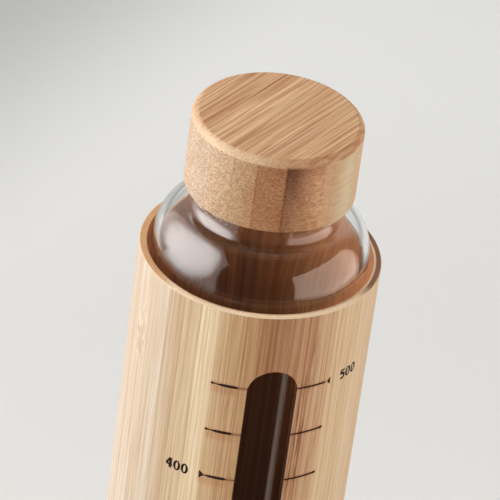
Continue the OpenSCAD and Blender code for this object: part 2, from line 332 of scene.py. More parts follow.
def bamboo_sleeve():
    M = Mat("bamboo_sleeve")
    x, y, z = M.pos()
    r = M.math("SQRT", M.math("ADD", M.math("MULTIPLY", x, x), M.math("MULTIPLY", y, y)))
    az0 = M.math("MULTIPLY", M.math("ARCTAN2", x, M.math("MULTIPLY", y, -1.0)), 180 / math.pi)
    # fibres wander a little as they climb
    sway = M.math("MULTIPLY", M.math("SUBTRACT", M.noise(M.combine(M.math("MULTIPLY", x, 0.05), M.math("MULTIPLY", y, 0.05), M.math("MULTIPLY", z, 0.012)), 1.0, 1), 0.5), 1.6)
    az = M.math("ADD", az0, sway)

    def strip_ramp(lo, hi):
        stops = []
        for a, b, ca, cb in STRIPS:
            if a >= lo and b <= hi:
                stops += [((a + 0.8 - lo) / (hi - lo), srgb(*ca)), ((b - 0.8 - lo) / (hi - lo), srgb(*cb))]
        return M.ramp(M.map_range(az, lo, hi, smooth=False), stops)

    base = M.mix(M.math("GREATER_THAN", az, -11.0), strip_ramp(-180, -11), strip_ramp(-11, 180))

    # long fibres, from broad tone drift to fine lines
    def fib(a, b, det=2.0, rough=0.5, off=0.0):
        return M.noise(M.combine(M.math("MULTIPLY", x, a), M.math("MULTIPLY", y, a), M.math("MULTIPLY_ADD", z, b, off)), 1.0, det, rough)
    broad = fib(0.17, 0.004, 2.0, 0.5, 3.0)
    mid = fib(0.62, 0.007, 2.0, 0.55, 9.0)
    fine = fib(1.7, 0.014, 2.0, 0.6, 1.0)
    hair = fib(3.6, 0.05, 1.0, 0.5, 5.0)
    aa0 = M.math("ABSOLUTE", az0)
    front = M.map_range(aa0, 34.0, 8.0)
    col = M.mix(M.math("MULTIPLY", M.map_range(broad, 0.46, 0.64), 0.22), base, M.mix(1.0, base, (0.88, 0.74, 0.62), "MULTIPLY"))
    col = M.mix(M.math("MULTIPLY", M.map_range(mid, 0.49, 0.60), M.map_range(front, 0.0, 1.0, 0.18, 0.50)), col, M.mix(1.0, col, (0.82, 0.67, 0.54), "MULTIPLY"))
    col = M.mix(M.math("MULTIPLY", M.map_range(mid, 0.50, 0.40), 0.26), col, M.mix(1.0, col, (1.08, 1.12, 1.18), "MULTIPLY"))
    col = M.mix(M.math("MULTIPLY", M.map_range(fine, 0.50, 0.61), M.map_range(front, 0.0, 1.0, 0.34, 0.66)), col, M.mix(1.0, col, (0.75, 0.59, 0.46), "MULTIPLY"))
    col = M.mix(M.math("MULTIPLY", M.map_range(fine, 0.49, 0.39), 0.60), col, M.mix(1.0, col, (1.10, 1.15, 1.22), "MULTIPLY"))
    col = M.mix(M.math("MULTIPLY", M.map_range(hair, 0.50, 0.62), 0.50), col, M.mix(1.0, col, (0.80, 0.67, 0.56), "MULTIPLY"))
    # single dark fibres and glue lines, fading in and out up the tube
    fade = M.map_range(M.noise(M.combine(M.math("MULTIPLY", M.math("ROUND", M.math("MULTIPLY", az, 0.6)), 7.3), 0.0, M.math("MULTIPLY", z, 0.02)), 1.0, 1.0, 0.5), 0.30, 0.58, 0.25, 1.0)
    for lo, hi in ((-180, -101.2), (-101.2, -51), (-51, -20), (-20, 11), (11, 40), (40, 90), (90, 180)):
        near = [(a, w * 1.25, st, 0.0, 0.0) for a, w, st in HAIRS if lo <= a - w * 1.25 and a + w * 1.25 <= hi]
        sel = M.math("MULTIPLY", M.math("GREATER_THAN", az, float(lo)), M.math("LESS_THAN", az, float(hi)))
        k = M.math("MULTIPLY", M.math("MULTIPLY", M.lines(az, lo, hi, near)[0], sel), fade)
        col = M.mix(M.math("MULTIPLY", k, 0.85), col, M.mix(1.0, col, (0.62, 0.42, 0.27), "MULTIPLY"))
    # reddish heartwood beside the slot
    for a, w, zl, zh, st in ((15.4, 3.2, 138.0, 194.0, 1.0), (18.6, 1.6, 90.0, 210.0, 0.6), (-14.2, 1.6, 100.0, 176.0, 0.4), (-20.5, 2.4, 90.0, 190.0, 0.3), (23.5, 2.0, 60.0, 182.0, 0.35)):
        d = M.math("ABSOLUTE", M.math("SUBTRACT", az, a))
        zz = M.math("MULTIPLY", M.map_range(z, zl, zl + 12), M.map_range(z, zh, zh - 14))
        wisp = M.map_range(fib(1.5, 0.085, 3.0, 0.6, a), 0.46, 0.60)
        col = M.mix(M.math("MULTIPLY", M.math("MULTIPLY", M.map_range(d, w, w * 0.2), zz), M.math("MULTIPLY", wisp, st)), col, M.mix(1.0, col, (0.48, 0.34, 0.30), "MULTIPLY"))
    # a bamboo knot on the left, and two more round the back
    for a, zk in ((-76.0, 185.0), (118.0, 92.0), (-148.0, 61.0)):
        ka = M.math("DIVIDE", M.math("SUBTRACT", az0, a), 7.0)
        kz = M.math("DIVIDE", M.math("SUBTRACT", z, zk), 13.0)
        kr = M.math("SQRT", M.math("ADD", M.math("MULTIPLY", ka, ka), M.math("MULTIPLY", kz, kz)))
        kn = M.noise(M.combine(M.math("MULTIPLY", az0, 0.42), 4.0, M.math("MULTIPLY", z, 0.16)), 1.0, 3.0, 0.6, 1.2)
        inside = M.map_range(kr, 1.0, 0.35)
        col = M.mix(M.math("MULTIPLY", inside, M.map_range(kn, 0.50, 0.58, 0.0, 0.8)), col, M.mix(1.0, col, (0.84, 0.70, 0.58), "MULTIPLY"))
        col = M.mix(M.math("MULTIPLY", inside, M.map_range(kn, 0.47, 0.40, 0.0, 0.8)), col, srgb(247, 231, 207))
    # faint scorch round the engraved lines
    pitch = (level(500) - level(450))
    dz = M.math("MULTIPLY", M.math("SUBTRACT", M.math("FRACT", M.math("ADD", M.math("DIVIDE", M.math("SUBTRACT", z, level(100)), pitch), 0.5)), 0.5), pitch)
    span = M.math("MULTIPLY", M.math("MULTIPLY", M.map_range(aa0, 10.5, 13.0), M.map_range(aa0, 31.0, 28.0)), M.math("MULTIPLY", M.map_range(z, 44.0, 47.0), M.map_range(z, 188.0, 186.0)))
    scorch = M.math("MAXIMUM", M.map_range(M.math("ABSOLUTE", dz), 1.3, 0.2), M.math("MULTIPLY", M.map_range(M.math("ABSOLUTE", M.math("ADD", dz, 1.6)), 2.6, 0.2), M.map_range(az0, -14.0, -18.0, 0.0, 0.8)))
    col = M.mix(M.math("MULTIPLY", M.math("MULTIPLY", scorch, span), 0.55), col, M.mix(1.0, col, (0.80, 0.52, 0.40), "MULTIPLY"))
    # end grain of the rim: tan towards the left and cream at the front, speckled, and darker towards the bore at the
    # front; painted shadow of the cap and bottle on its right part, and a painted highlight along its outer edge
    speck = M.noise(M.combine(x, y, M.math("MULTIPLY", z, 0.05)), 2.6, 2.0, 0.6)
    # painted shadow: the right part of the rim is painted dark brown, as the cap and bottle shade it from the key lamp
    rim_painted_shadow = M.math("MULTIPLY", M.map_range(az0, 40.0, 58.0), M.map_range(az0, 150.0, 120.0))
    tan_left = M.map_range(az0, -52.0, -70.0)
    rim = M.mix(tan_left, srgb(244, 219, 184), srgb(212, 166, 118))
    rim = M.mix(M.math("MULTIPLY", rim_painted_shadow, M.map_range(r, 34.75, 35.05, 0.25, 1.0)), rim, srgb(138, 92, 62))
    rim = M.mix(M.math("MULTIPLY", M.map_range(r, 35.15, 34.75), M.map_range(aa0, 62.0, 44.0, 0.0, 0.75)), rim, srgb(198, 152, 114))
    rim = M.mix(M.map_range(speck, 0.42, 0.60, 0.0, 0.55), rim, M.mix(1.0, rim, (0.72, 0.56, 0.44), "MULTIPLY"))
    # painted highlight: a pale cream line along the rounded outer edge, fainter inside the painted shadow
    rim = M.mix(M.math("MULTIPLY", M.map_range(r, 36.12, 36.3), M.map_range(rim_painted_shadow, 0.0, 1.0, 0.7, 0.15)), rim, srgb(240, 215, 182))
    col = M.mix(M.math("MULTIPLY", M.map_range(z, 209.62, 209.80), M.math("LESS_THAN", r, 36.45)), col, rim)
    # the bore is darker than the outside, with painted light on its right side towards the top
    inner = M.map_range(r, 34.34, 34.22)
    bore = M.ramp(M.math("ADD", M.math("MULTIPLY", mid, 0.6), M.math("MULTIPLY", fine, 0.4)), [(0.34, srgb(166, 108, 72)), (0.52, srgb(148, 92, 60)), (0.66, srgb(124, 74, 48))])
    # painted light: a lighter patch high on the right of the bore, where the key lamp shines in
    lit = M.math("MULTIPLY", M.map_range(az0, 30.0, 60.0), M.map_range(az0, 165.0, 130.0))
    bore = M.mix(M.math("MULTIPLY", M.map_range(z, 140.0, 172.0), M.math("MULTIPLY", lit, 0.8)), bore, M.mix(M.map_range(fine, 0.4, 0.6), srgb(184, 124, 82), srgb(160, 102, 66)))
    col = M.mix(inner, col, bore)
    # burnt wood: floors of the engraving and the walls of the slot
    deep = M.map_range(r, 36.44, 36.40, smooth=False)
    zone = M.math("MULTIPLY", M.math("LESS_THAN", aa0, 56.0), M.math("MULTIPLY", M.math("GREATER_THAN", z, 41.0), M.math("LESS_THAN", z, 192.5)))
    burnt = M.math("MULTIPLY", M.math("MULTIPLY", deep, zone), M.math("GREATER_THAN", r, 34.25))
    slot_wall = M.math("LESS_THAN", aa0, 12.55)
    weak = M.math("MULTIPLY", M.map_range(az0, -17.0, -15.6), M.math("LESS_THAN", az0, 0.0))
    fleck = M.map_range(M.noise(M.combine(x, y, z), 3.2, 2.0, 0.5), 0.42, 0.62)
    char = M.mix(fleck, srgb(30, 14, 8), srgb(54, 28, 16))
    char = M.mix(M.math("MULTIPLY", weak, M.math("SUBTRACT", 1.0, slot_wall)), char, srgb(150, 98, 62))
    char = M.mix(slot_wall, char, srgb(70, 40, 27))
    col = M.mix(burnt, col, char)
    bumpv = M.bump(M.math("ADD", M.math("MULTIPLY", fine, 0.6), M.math("MULTIPLY", hair, 0.4)), 0.00006, 0.5)
    M.bsdf(Base_Color=col, Roughness=M.map_range(burnt, 0.0, 1.0, 0.50, 0.90), Normal=bumpv, Specular_IOR_Level=0.25)
    return M.m


# ---------------------------------------------------------------- bamboo of the cap: fibres lie flat, along GRAIN
# dark streaks that show on the top: distance across the grain, where they start and end along it, half width, strength
STREAKS = [(11.8, -9, 22, 0.34, 0.9), (10.7, -2, 22, 0.30, 0.8), (13.5, -22, -8, 0.28, 0.7), (10.5, -22, -7, 0.30, 0.7), (9.3, -20, -10, 0.22, 0.5),
           (5.5, -24, 24, 0.30, 0.85), (3.8, -24, 3, 0.28, 0.7), (1.6, -6, 10, 0.22, 0.45), (-0.6, 2, 24, 0.22, 0.5), (-2.4, -24, -12, 0.28, 0.75),
           (-4.0, -20, 24, 0.26, 0.65), (-5.2, -3, 18, 0.20, 0.5), (-7.4, -18, -2, 0.20, 0.4), (-9.9, -24, 24, 0.36, 1.0), (-10.9, -20, 2, 0.24, 0.7),
           (-12.8, -8, 16, 0.20, 0.45), (-14.4, -16, 10, 0.20, 0.4), (-16.6, -10, 20, 0.24, 0.5), (-19.3, -12, 14, 0.22, 0.5), (-21.6, -8, 12, 0.2, 0.4),
           (18.4, -16, 6, 0.26, 0.45), (16.2, 2, 16, 0.2, 0.3), (21.5, -8, 10, 0.2, 0.3), (7.8, 6, 22, 0.22, 0.45)]


def bamboo_cap():
    M = Mat("bamboo_cap")
    x, y, z = M.pos()
    c, s = math.cos(GRAIN), math.sin(GRAIN)
    u = M.math("ADD", M.math("MULTIPLY", x, c), M.math("MULTIPLY", y, s))
    t0 = M.math("ADD", M.math("MULTIPLY", x, -s), M.math("MULTIPLY", y, c))
    t = M.math("ADD", t0, M.math("MULTIPLY", M.math("SUBTRACT", M.noise(M.combine(M.math("MULTIPLY", u, 0.035), M.math("MULTIPLY", t0, 0.09), M.math("MULTIPLY", z, 0.05)), 1.0, 1.0), 0.5), 0.5))

    def fib(a, az_, b, det=2.0, rough=0.5, off=0.0):
        return M.noise(M.combine(M.math("MULTIPLY_ADD", u, b, off), M.math("MULTIPLY", t, a), M.math("MULTIPLY", z, az_)), 1.0, det, rough)

    # tone of each laminate, across the grain
    zt = CAP_Z + CAP_H
    top = M.map_range(z, zt - 2.6, zt - 1.6)
    side = [(-25.65, (206, 173, 136)), (-25.2, (199, 160, 121)), (-24.2, (205, 156, 114)), (-22.8, (197, 145, 103)), (-20.8, (176, 124, 86)), (-17.5, (163, 111, 76)),
            (-17.1, (175, 119, 79)), (-10.2, (181, 128, 86)), (-9.6, (196, 150, 108)), (-2.9, (199, 158, 118)), (-2.4, (205, 167, 129)), (5.9, (209, 174, 140)), (6.4, (208, 178, 149)), (25.65, (197, 168, 140))]
    base_s = M.ramp(M.map_range(t0, -26.0, 26.0, smooth=False), [((a + 26) / 52, srgb(*cc)) for a, cc in side])
    over = [(-26, (216, 171, 127)), (-19, (222, 178, 135)), (-12, (213, 168, 124)), (-8.6, (225, 183, 140)), (-4.6, (215, 169, 126)), (0.5, (219, 175, 131)),
            (5.0, (228, 186, 143)), (9.6, (224, 180, 136)), (10.4, (214, 167, 123)), (18, (217, 171, 127)), (26, (221, 177, 134))]
    base_t = M.ramp(M.map_range(t, -26.0, 26.0, smooth=False), [((a + 26) / 52, srgb(*cc)) for a, cc in over])
    pale = M.math("MULTIPLY", M.map_range(u, -4.0, 1.5), M.map_range(t0, -20.0, -23.0))
    base_s = M.mix(pale, base_s, M.mix(1.0, base_s, (1.04, 1.18, 1.26), "MULTIPLY"))
    base = M.mix(top, base_s, base_t)
    broad = fib(0.34, 0.12, 0.010, 2.0, 0.5, 4.0)
    streak = fib(1.05, 0.7, 0.026, 1.0, 0.5, 2.0)
    fine = fib(2.3, 2.0, 0.036, 2.0, 0.5, 7.0)
    plain = M.math("SUBTRACT", 1.0, M.math("MULTIPLY", M.math("LESS_THAN", t0, -24.0), M.math("SUBTRACT", 1.0, top)))
    geo = M.n("ShaderNodeNewGeometry")
    vt = M.n("ShaderNodeVectorTransform", vector_type="NORMAL", convert_from="WORLD", convert_to="OBJECT")
    M.link(geo.outputs["Normal"], vt.inputs[0])
    dp = M.n("ShaderNodeVectorMath", operation="DOT_PRODUCT")
    M.link(vt.outputs[0], dp.inputs[0])
    dp.inputs[1].default_value = (c, s, 0)
    along = M.math("ABSOLUTE", dp.outputs["Value"])
    endg = M.map_range(along, 0.10, 0.75)
    flat = M.math("SUBTRACT", 1.0, endg)
    col = M.mix(M.math("MULTIPLY", M.map_range(broad, 0.47, 0.66), 0.34), base, M.mix(1.0, base, (0.84, 0.68, 0.54), "MULTIPLY"))
    flat = M.math("MULTIPLY", flat, M.map_range(plain, 0.0, 1.0, 0.25, 1.0))
    col = M.mix(M.math("MULTIPLY", M.math("MULTIPLY", M.map_range(streak, 0.53, 0.58), flat), 0.62), col, M.mix(1.0, col, (0.70, 0.52, 0.39), "MULTIPLY"))
    col = M.mix(M.math("MULTIPLY", M.math("MULTIPLY", M.map_range(streak, 0.47, 0.42), flat), 0.62), col, M.mix(1.0, col, (1.14, 1.20, 1.28), "MULTIPLY"))
    col = M.mix(M.math("MULTIPLY", M.math("MULTIPLY", M.map_range(fine, 0.53, 0.60), flat), 0.56), col, M.mix(1.0, col, (0.72, 0.55, 0.42), "MULTIPLY"))
    col = M.mix(M.math("MULTIPLY", M.math("MULTIPLY", M.map_range(fine, 0.47, 0.38), flat), 0.50), col, M.mix(1.0, col, (1.10, 1.14, 1.20), "MULTIPLY"))
    # the streaks that show most
    lively = M.map_range(fib(0.9, 0.5, 0.07, 1.0, 0.5, 6.0), 0.34, 0.56, 0.45, 1.0)
    ordered = sorted(STREAKS)
    for part in range(3):
        out = M.lines(t, -26.0, 26.0, [(t1, w * 1.35, st, (u0 + u1 + 60) / 120, (u1 - u0) / 120) for t1, u0, u1, w, st in ordered[part::3]])
        dist = M.math("SUBTRACT", M.math("ABSOLUTE", M.math("SUBTRACT", u, M.math("MULTIPLY_ADD", out[1], 60.0, -30.0))), M.math("MULTIPLY", out[2], 60.0))
        k = M.math("MULTIPLY", M.math("MULTIPLY", out[0], M.map_range(dist, 1.5, -2.5)), lively)
        col = M.mix(M.math("MULTIPLY", k, M.math("MULTIPLY", flat, 1.0)), col, M.mix(1.0, col, (0.60, 0.40, 0.28), "MULTIPLY"))
    # end grain: the bundles cut across show as dots, packed close
    vor = M.n("ShaderNodeTexVoronoi", feature="F1", voronoi_dimensions="3D")
    drift = fib(0.35, 0.35, 0.05, 2.0, 0.5, 3.0)
    M.link(M.combine(M.math("MULTIPLY", u, 0.12), M.math("ADD", M.math("MULTIPLY", t0, 1.0), M.math("MULTIPLY", drift, 3.0)), M.math("MULTIPLY", z, 1.15)), vor.inputs["Vector"])
    vor.inputs["Scale"].default_value = 1.6
    vor.inputs["Randomness"].default_value = 0.85
    cell = vor.outputs["Distance"]
    dots = M.map_range(cell, 0.44, 0.20)
    pith = M.map_range(cell, 0.46, 0.64)
    thick = M.map_range(fib(0.22, 0.22, 0.03, 1.0, 0.5, 11.0), 0.35, 0.65, 0.65, 1.0)
    col = M.mix(M.math("MULTIPLY", M.math("MULTIPLY", endg, dots), M.math("MULTIPLY", thick, 0.70)), col, M.mix(1.0, col, (0.66, 0.50, 0.40), "MULTIPLY"))
    col = M.mix(M.math("MULTIPLY", M.math("MULTIPLY", endg, pith), 0.80), col, M.mix(1.0, col, (1.26, 1.36, 1.48), "MULTIPLY"))
    # the bevel's cut bundles look paler; painted light makes them cream on the left, facing the key lamp, and tan on
    # the right
    rr = M.math("SQRT", M.math("ADD", M.math("MULTIPLY", x, x), M.math("MULTIPLY", y, y)))
    bevel_pale_painted_light = M.math("MULTIPLY", M.math("MULTIPLY", M.map_range(z, zt - 2.05, zt - 1.85), M.map_range(rr, CAP_R - 2.1, CAP_R - 1.9)), M.math("MULTIPLY", endg, M.map_range(x, 22.0, 12.0, 0.25, 1.0)))
    col = M.mix(M.math("MULTIPLY", bevel_pale_painted_light, 0.50), col, M.mix(M.map_range(x, -12.0, 6.0), srgb(226, 194, 157), srgb(196, 142, 98)))
    # painted shade: the bevel is darkened towards the right, away from the key lamp
    bevel_painted_shade = M.math("MULTIPLY", M.math("MULTIPLY", M.map_range(z, zt - 2.05, zt - 1.85), M.map_range(rr, CAP_R - 2.1, CAP_R - 1.9)), M.map_range(x, -12.0, 4.0))
    col = M.mix(bevel_painted_shade, col, M.mix(1.0, col, (0.84, 0.76, 0.70), "MULTIPLY"))
    # thin dark glue lines between the laminates, and a stain high on one of them
    for a, w, st in ((-17.3, 0.22, 0.8), (-9.9, 0.24, 0.6), (-2.7, 0.20, 0.4), (6.05, 0.12, 0.3), (-24.9, 0.05, 0.3), (15.0, 0.2, 0.4)):
        d = M.math("ABSOLUTE", M.math("SUBTRACT", t0, a))
        col = M.mix(M.math("MULTIPLY", M.math("MULTIPLY", M.map_range(d, w * 2, w * 0.4), M.math("SUBTRACT", 1.0, top)), st * 0.7), col, M.mix(1.0, col, (0.62, 0.46, 0.36), "MULTIPLY"))
    stain = M.math("MULTIPLY", M.math("MULTIPLY", M.map_range(t0, -22.2, -18.6), M.map_range(t0, -16.9, -17.4)), M.math("MULTIPLY", M.map_range(z, zt - 20.0, zt - 3.0, 0.15, 1.0), M.map_range(z, zt - 1.4, zt - 2.4)))
    col = M.mix(stain, col, M.mix(1.0, col, (0.50, 0.42, 0.39), "MULTIPLY"))
    # darker just under the bevel round the front right of the side, fading downwards
    soft = M.math("MULTIPLY", M.math("MULTIPLY", M.map_range(t0, -24.8, -22.5), M.map_range(t0, -8.0, -16.0)), M.math("MULTIPLY", M.map_range(z, zt - 8.0, zt - 2.6), M.map_range(z, zt - 1.6, zt - 2.2)))
    col = M.mix(M.math("MULTIPLY", soft, 0.50), col, M.mix(1.0, col, (0.74, 0.62, 0.54), "MULTIPLY"))
    bumpv = M.bump(M.math("ADD", M.math("MULTIPLY", fine, 0.5), M.math("MULTIPLY", M.math("MULTIPLY", cell, endg), 0.5)), 0.00008, 0.55)
    rough = M.map_range(fine, 0.3, 0.7, 0.46, 0.60)
    M.bsdf(Base_Color=col, Roughness=rough, Normal=bumpv, Specular_IOR_Level=0.3)
    return M.m


def bamboo_base():
    M = Mat("bamboo_base")
    x, y, z = M.pos()
    fine = M.noise(M.combine(M.math("MULTIPLY", x, 0.02), M.math("MULTIPLY", y, 1.6), M.math("MULTIPLY", z, 1.2)), 1.0, 3, 0.55)
    broad = M.noise(M.combine(M.math("MULTIPLY", x, 0.006), M.math("MULTIPLY", y, 0.3), M.math("MULTIPLY", z, 0.2)), 1.0, 2, 0.5)
    base = M.ramp(broad, [(0.3, srgb(218, 182, 138)), (0.7, srgb(190, 142, 98))])
    col = M.mix(M.math("MULTIPLY", M.map_range(fine, 0.50, 0.68), 0.6), base, M.mix(1.0, base, (0.6, 0.44, 0.32), "MULTIPLY"))
    M.bsdf(Base_Color=col, Roughness=M.map_range(fine, 0.3, 0.7, 0.5, 0.62), Normal=M.bump(fine, 0.00008, 0.5), Specular_IOR_Level=0.35)
    return M.m


def clear_glass():
    M = Mat("clear_glass")
    b = M.n("ShaderNodeBsdfPrincipled")
    b.inputs["Base Color"].default_value = (0.985, 0.995, 0.992, 1)
    b.inputs["Roughness"].default_value = 0.0
    b.inputs["IOR"].default_value = 1.47
    b.inputs["Transmission Weight"].default_value = 1.0
    tr = M.n("ShaderNodeBsdfTransparent")
    tr.inputs[0].default_value = (0.89, 0.91, 0.905, 1)
    lp = M.n("ShaderNodeLightPath")
    mx = M.n("ShaderNodeMixShader")
    M.link(lp.outputs["Is Shadow Ray"], mx.inputs[0])
    M.link(b.outputs[0], mx.inputs[1])
    M.link(tr.outputs[0], mx.inputs[2])
    M.link(mx.outputs[0], M.out.inputs[0])
    return M.m


def soft_rubber(name, colour, dark, rough, scale):
    M = Mat(name)
    x, y, z = M.pos()
    v = M.noise(M.combine(x, y, z), scale, 3, 0.55)
    big = M.noise(M.combine(x, y, z), scale * 0.06, 2, 0.5)
    col = M.mix(M.map_range(big, 0.35, 0.65), colour, dark)
    M.bsdf(Base_Color=col, Roughness=M.map_range(v, 0.3, 0.7, rough - 0.06, rough + 0.06), Normal=M.bump(v, 0.00003, 0.4), Specular_IOR_Level=0.4)
    return M.m


M_SLEEVE, M_CAP, M_BASE, M_GLASS = bamboo_sleeve(), bamboo_cap(), bamboo_base(), clear_glass()
M_SIL = soft_rubber("silicone", srgb(219, 219, 215), srgb(216, 216, 212), 0.42, 2.2)
M_PAD = soft_rubber("foot_rubber", srgb(62, 59, 56), srgb(54, 51, 49), 0.7, 3.0)
M_PP = soft_rubber("white_plastic", srgb(232, 230, 224), srgb(226, 224, 217), 0.36, 1.4)

# ---------------------------------------------------------------- sleeve
prof = ([(SRI + 0.6, 0.9), (SRI + 0.9, PAD_P), (SR - 0.7, PAD_P)] + arc(SR - 0.7, PAD_P + 0.7, 0.7, -75, 0, 5)
        + [(SR, 60), (SR, 120), (SR, 170)] + arc(SR - 0.4, SH - 0.4, 0.4, 0, 90, 6) + arc(SRI + 0.25, SH - 0.25, 0.25, 90, 180, 5)
        + [(SRI, 150), (SRI, 80), (SRI, BASE_TOP), (SRI + 0.6, BASE_TOP)])
sleeve = lathe("bamboo_sleeve", prof, 360)

# level slot: parallel side walls, round ends, and a small break of the outer edge
def stadium(w, zl, zh, n=28):
    pts = []
    for i in range(n + 1):
        a = math.pi * i / n
        pts.append((w / 2 * math.cos(a), zh - SLOT_W / 2 + w / 2 * math.sin(a)))
    for i in range(n + 1):
        a = math.pi + math.pi * i / n
        pts.append((w / 2 * math.cos(a), zl + SLOT_W / 2 + w / 2 * math.sin(a)))
    return pts

def slot_loop(w, r):
    return [(px * MM, -math.sqrt(r * r - px * px) * MM, pz * MM) for px, pz in stadium(w, SLOT_LO, SLOT_HI)]

slot_cut = loft("slot_cut", [slot_loop(SLOT_W + 1.2, SR + 1.2), slot_loop(SLOT_W + 0.36, SR + 0.02), slot_loop(SLOT_W, SR - 0.22),
                             slot_loop(SLOT_W, SR - 1.2), slot_loop(SLOT_W, SRI - 0.8)])
boolean(sleeve, [slot_cut])

# engraved scale
DEPTH = 0.15
def strip_cut(name, az_list, half_list, z):
    ro, ri = SR + 0.4, SR - DEPTH
    loops = []
    for a, h in zip(az_list, half_list):
        a = math.radians(a)
        loops.append([wrap(a, z - h, ri), wrap(a, z + h, ri), wrap(a, z + h, ro), wrap(a, z - h, ro)])
    return loft(name, loops)

def plate_cut(name, outline):
    """Cutter from an outline of (azimuth in degrees, height), wound round the tube."""
    return loft(name, [[wrap(math.radians(a), z, SR - DEPTH) for a, z in outline], [wrap(math.radians(a), z, SR + 0.4) for a, z in outline]])

def ribbon(name, pts, halves, place):
    """Cutter along a stroke: pts are (x, y) in mm on the unrolled surface, halves the half widths; place turns them to 3D."""
    n = len(pts)
    loops = []
    for i in range(n):
        p, q = pts[max(i - 1, 0)], pts[min(i + 1, n - 1)]
        if 0 < i < n - 1:
            d1 = Vector((pts[i][0] - pts[i - 1][0], pts[i][1] - pts[i - 1][1])).normalized()
            d2 = Vector((pts[i + 1][0] - pts[i][0], pts[i + 1][1] - pts[i][1])).normalized()
            t = (d1 + d2).normalized()
            k = 1 / max(0.5, t.dot(d2))
        else:
            t, k = Vector((q[0] - p[0], q[1] - p[1])).normalized(), 1.0
        nx, ny = -t.y * halves[i] * k, t.x * halves[i] * k
        x_, y_ = pts[i]
        loops.append([place(x_ - nx, y_ - ny, SR - DEPTH), place(x_ + nx, y_ + ny, SR - DEPTH), place(x_ + nx, y_ + ny, SR + 0.4), place(x_ - nx, y_ - ny, SR + 0.4)])
    return loft(name, loops)


def ring_cut(name, a_out, b_out, a_in, b_in, place, n=40):
    """Cutter in the shape of an oval ring."""
    bm = bmesh.new()
    rows = []
    for k in range(n):
        c_, s_ = math.cos(2 * math.pi * k / n), math.sin(2 * math.pi * k / n)
        rows.append([bm.verts.new(place(a * c_, b_ * s_, r)) for a, b_, r in ((a_in, b_in, SR - DEPTH), (a_out, b_out, SR - DEPTH), (a_out, b_out, SR + 0.4), (a_in, b_in, SR + 0.4))])
    for k in range(n):
        p, q = rows[k], rows[(k + 1) % n]
        for j in range(4):
            bm.faces.new((p[j], q[j], q[(j + 1) % 4], p[(j + 1) % 4]))
    bmesh.ops.recalc_face_normals(bm, faces=bm.faces)
    me = bpy.data.meshes.new(name)
    bm.to_mesh(me)
    bm.free()
    return new_obj(name, me)


def bow(cx, cy, rx, ry, a0, a1, n):
    return [(cx + rx * math.cos(math.radians(a0 + (a1 - a0) * i / n)), cy + ry * math.sin(math.radians(a0 + (a1 - a0) * i / n))) for i in range(n + 1)]


def digit(ch, name, x0, az_mid, z_mid, h):
    """Strokes of one digit of height h, centred x0 mm from the number's middle, in three groups that don't overlap inside themselves."""
    def place(px, py, r):
        return wrap(math.radians(az_mid) + (px + x0) / SR, z_mid + py, r)
    H, thick, thin = h / 2, 0.51, 0.37

    def swell(n, extra):
        return [thin + extra * math.sin(math.pi * i / n) for i in range(n + 1)]
    strokes = {
        "0": [],
        "1": [(0, [(0.12, H), (0.12, -H)], [thick, thick]), (1, [(-0.66, H - 0.70), (0.14, H - 0.12)], [thin, thin])],
        "2": [(0, bow(0.0, H * 0.42, 0.82, H * 0.46, 165, -32, 16), swell(16, 0.08)), (1, [(0.74, H * 0.20), (-0.80, -H + 0.22)], [0.36, 0.33]), (2, [(-0.98, -H + 0.32), (1.0, -H + 0.32)], [0.32, 0.32])],
        "3": [(0, bow(-0.10, H * 0.48, 0.80, H * 0.42, 150, -95, 16), swell(16, 0.08)), (1, bow(-0.10, -H * 0.42, 0.92, H * 0.46, 95, -150, 18), swell(18, 0.09))],
        "4": [(0, [(0.34, H - 0.05), (-1.02, -H * 0.30)], [thin, thin]), (1, [(-1.16, -H * 0.34), (1.12, -H * 0.34)], [thin, thin]), (2, [(0.42, H), (0.42, -H)], [thick, thick])],
        "5": [(0, [(0.96, H - 0.34), (-0.66, H - 0.34)], [0.34, 0.34]), (1, [(-0.62, H - 0.04), (-0.76, 0.02)], [thin, thin]), (2, bow(-0.06, -0.53, 0.86, 0.94, 144, -136, 22), swell(22, 0.09))]}[ch]
    out = [(g_, ribbon(f"{name}{i}", p, hw, place)) for i, (g_, p, hw) in enumerate(strokes)]
    if ch == "0":
        out.append((0, ring_cut(name, 1.23, H, 0.37, H - 0.60, place)))
    return out


def join_cutters(name, objs):
    bm = bmesh.new()
    for o in objs:
        bm.from_mesh(o.data)
        me = o.data
        bpy.data.objects.remove(o)
        bpy.data.meshes.remove(me)
    me = bpy.data.meshes.new(name)
    bm.to_mesh(me)
    bm.free()
    return new_obj(name, me)

